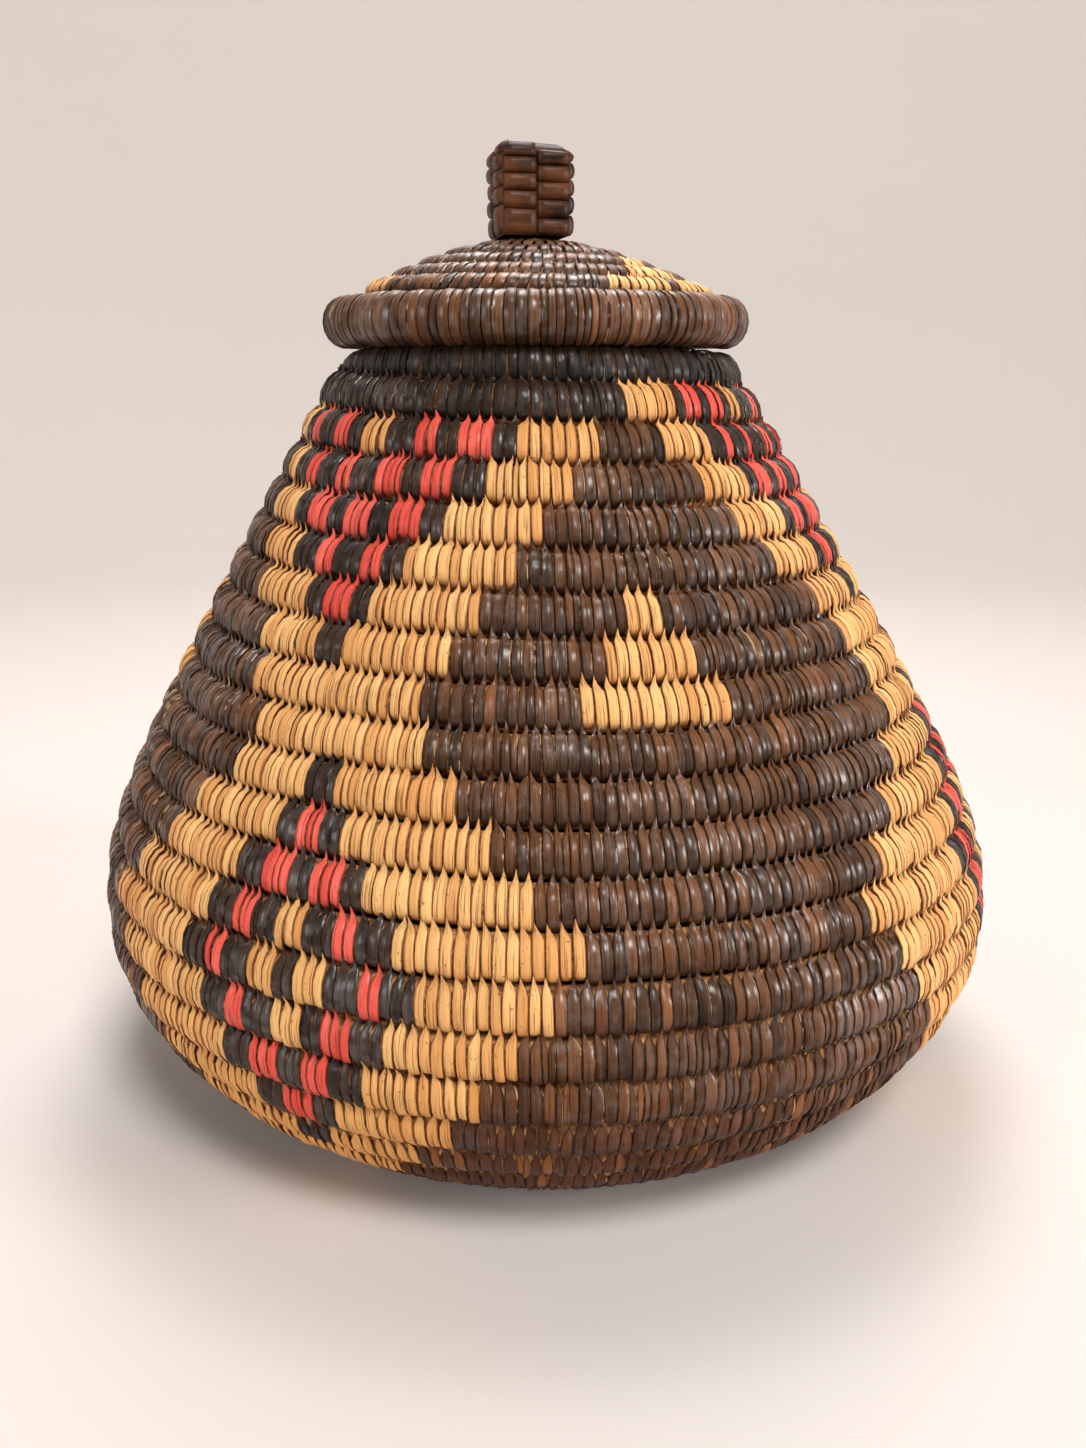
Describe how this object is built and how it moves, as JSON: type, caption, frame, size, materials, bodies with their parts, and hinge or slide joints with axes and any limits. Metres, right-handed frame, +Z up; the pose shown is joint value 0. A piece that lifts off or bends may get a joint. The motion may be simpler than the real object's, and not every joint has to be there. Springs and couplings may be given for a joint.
{
  "type": "lidded coiled basket",
  "caption": "Round-bellied coiled basket with a narrow mouth and a lift-off domed lid with a plaited knob.",
  "frame": {"origin": "middle of the base's flat underside", "axes": "+Z up through the lid's knob, -Y towards the front face of the picture, +X to the right of it"},
  "size_m": [0.2369, 0.2368, 0.239],
  "materials": {
    "brown_palm_wrap": "satin, waxed by handling",
    "black_palm_wrap": "satin",
    "natural_palm_wrap": "satin",
    "plaited_palm": "satin"
  },
  "bodies": {
    "basket": {"mouth_coil_end": "black_palm_wrap", "wall_coil_01": "brown_palm_wrap", "wall_coil_02": "natural_palm_wrap", "wall_coil_03": "brown_palm_wrap", "wall_coil_04": "brown_palm_wrap", "wall_coil_05": "natural_palm_wrap", "wall_coil_06": "brown_palm_wrap", "wall_coil_07": "brown_palm_wrap", "wall_coil_08": "natural_palm_wrap", "wall_coil_09": "brown_palm_wrap", "wall_coil_10": "brown_palm_wrap", "wall_coil_11": "natural_palm_wrap", "wall_coil_12": "brown_palm_wrap", "wall_coil_13": "brown_palm_wrap", "wall_coil_14": "natural_palm_wrap", "wall_coil_15": "brown_palm_wrap", "wall_coil_16": "brown_palm_wrap", "wall_coil_17": "natural_palm_wrap", "wall_coil_18": "brown_palm_wrap", "wall_coil_19": "brown_palm_wrap", "wall_coil_20": "natural_palm_wrap", "wall_coil_21": "brown_palm_wrap", "wall_coil_22": "brown_palm_wrap", "base_coil_01": "brown_palm_wrap", "base_coil_02": "brown_palm_wrap", "base_coil_03": "brown_palm_wrap", "base_coil_04": "brown_palm_wrap", "base_coil_05": "brown_palm_wrap", "base_coil_06": "brown_palm_wrap", "base_button": "brown_palm_wrap"},
    "lid": {"lid_button": "brown_palm_wrap", "lid_coil_01": "black_palm_wrap", "lid_coil_02": "brown_palm_wrap", "lid_coil_03": "black_palm_wrap", "lid_coil_04": "brown_palm_wrap", "lid_coil_05": "black_palm_wrap", "lid_coil_end": "brown_palm_wrap", "lid_rim_coil": "brown_palm_wrap", "lid_collar_coil_01": "brown_palm_wrap", "lid_collar_coil_02": "brown_palm_wrap", "knob_strip_front": "plaited_palm", "knob_strip_right": "plaited_palm", "knob_strip_back": "plaited_palm", "knob_strip_left": "plaited_palm"}
  },
  "joints": [
    {"name": "lid_lift", "type": "slide", "parent": "basket", "child": "lid", "axis": [0, 0, 1], "range_m": [0, 0.12]}
  ]
}
